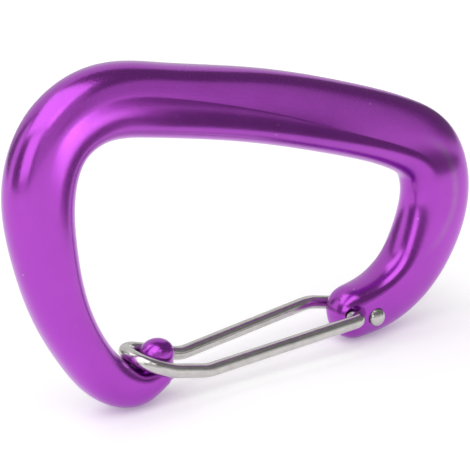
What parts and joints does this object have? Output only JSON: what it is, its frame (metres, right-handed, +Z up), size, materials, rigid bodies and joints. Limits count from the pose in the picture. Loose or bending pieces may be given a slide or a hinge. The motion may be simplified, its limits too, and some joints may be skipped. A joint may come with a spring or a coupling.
{
  "type": "carabiner",
  "caption": "Wire-gate snap link: a forged asymmetric-D ring with a hooked nose and a sprung bent-wire gate that swings inward at the small end.",
  "frame": {"origin": "the point inside the big end where a sling bears on the bar, in the ring's middle plane", "axes": "the ring lies in the XZ plane with its thickness along Y; +X runs from the big end to the hinge end, +Z is up with the spine on top and the gate below"},
  "size_m": [0.0768, 0.0113, 0.0478],
  "materials": {
    "anodised_aluminium": "glossy purple anodised over smooth tumbled forging",
    "stainless_wire": "bright drawn wire, lightly satin"
  },
  "bodies": {
    "frame": {"frame": "anodised_aluminium"},
    "gate": {"wire_gate": "stainless_wire"}
  },
  "joints": [
    {"name": "gate_hinge", "type": "hinge", "parent": "frame", "child": "gate", "pos_m": [0.047, 0, -0.0292], "axis": [0, 1, 0], "range_deg": [0, 32], "stiffness_Nm_per_rad": 0.21, "springref_deg": -32.66}
  ]
}
